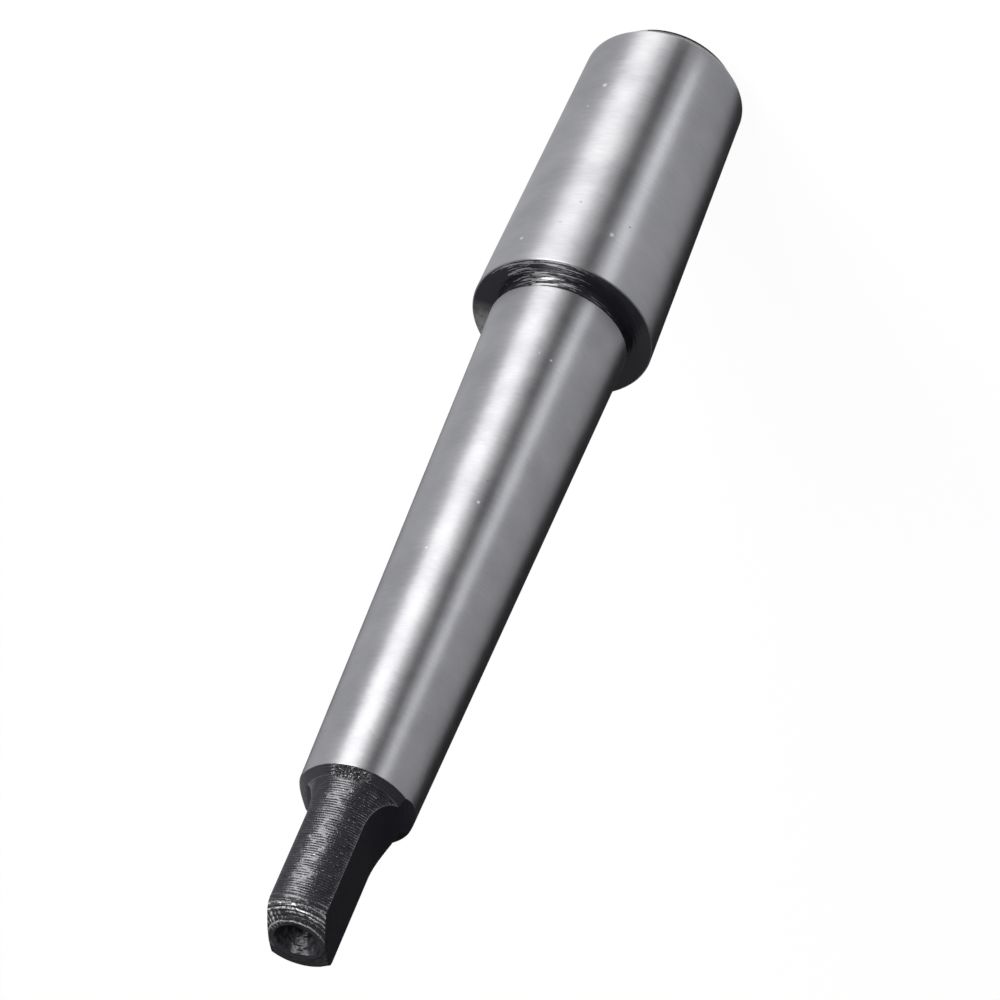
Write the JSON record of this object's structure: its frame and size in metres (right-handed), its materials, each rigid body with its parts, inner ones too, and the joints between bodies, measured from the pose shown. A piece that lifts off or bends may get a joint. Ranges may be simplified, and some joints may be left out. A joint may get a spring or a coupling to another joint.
{
  "type": "drill chuck arbor",
  "caption": "One-piece steel arbor with a self-holding taper shank and flat tang at one end and a short male taper for a drill chuck at the other.",
  "frame": {"origin": "Centre of the chuck end's face, which the arbor stands on.", "axes": "+Z along the axis from the chuck end to the tang, +X square to the flats of the tang, +Y along the flats."},
  "size_m": [0.016, 0.016, 0.099],
  "materials": {
    "ground_steel": "Fine ground bright steel on both tapers; black oxide over turned and milled surfaces on the tang, the undercut, the shoulder and the end chamfer."
  },
  "bodies": {
    "root": {"arbor": "ground_steel"}
  },
  "joints": []
}
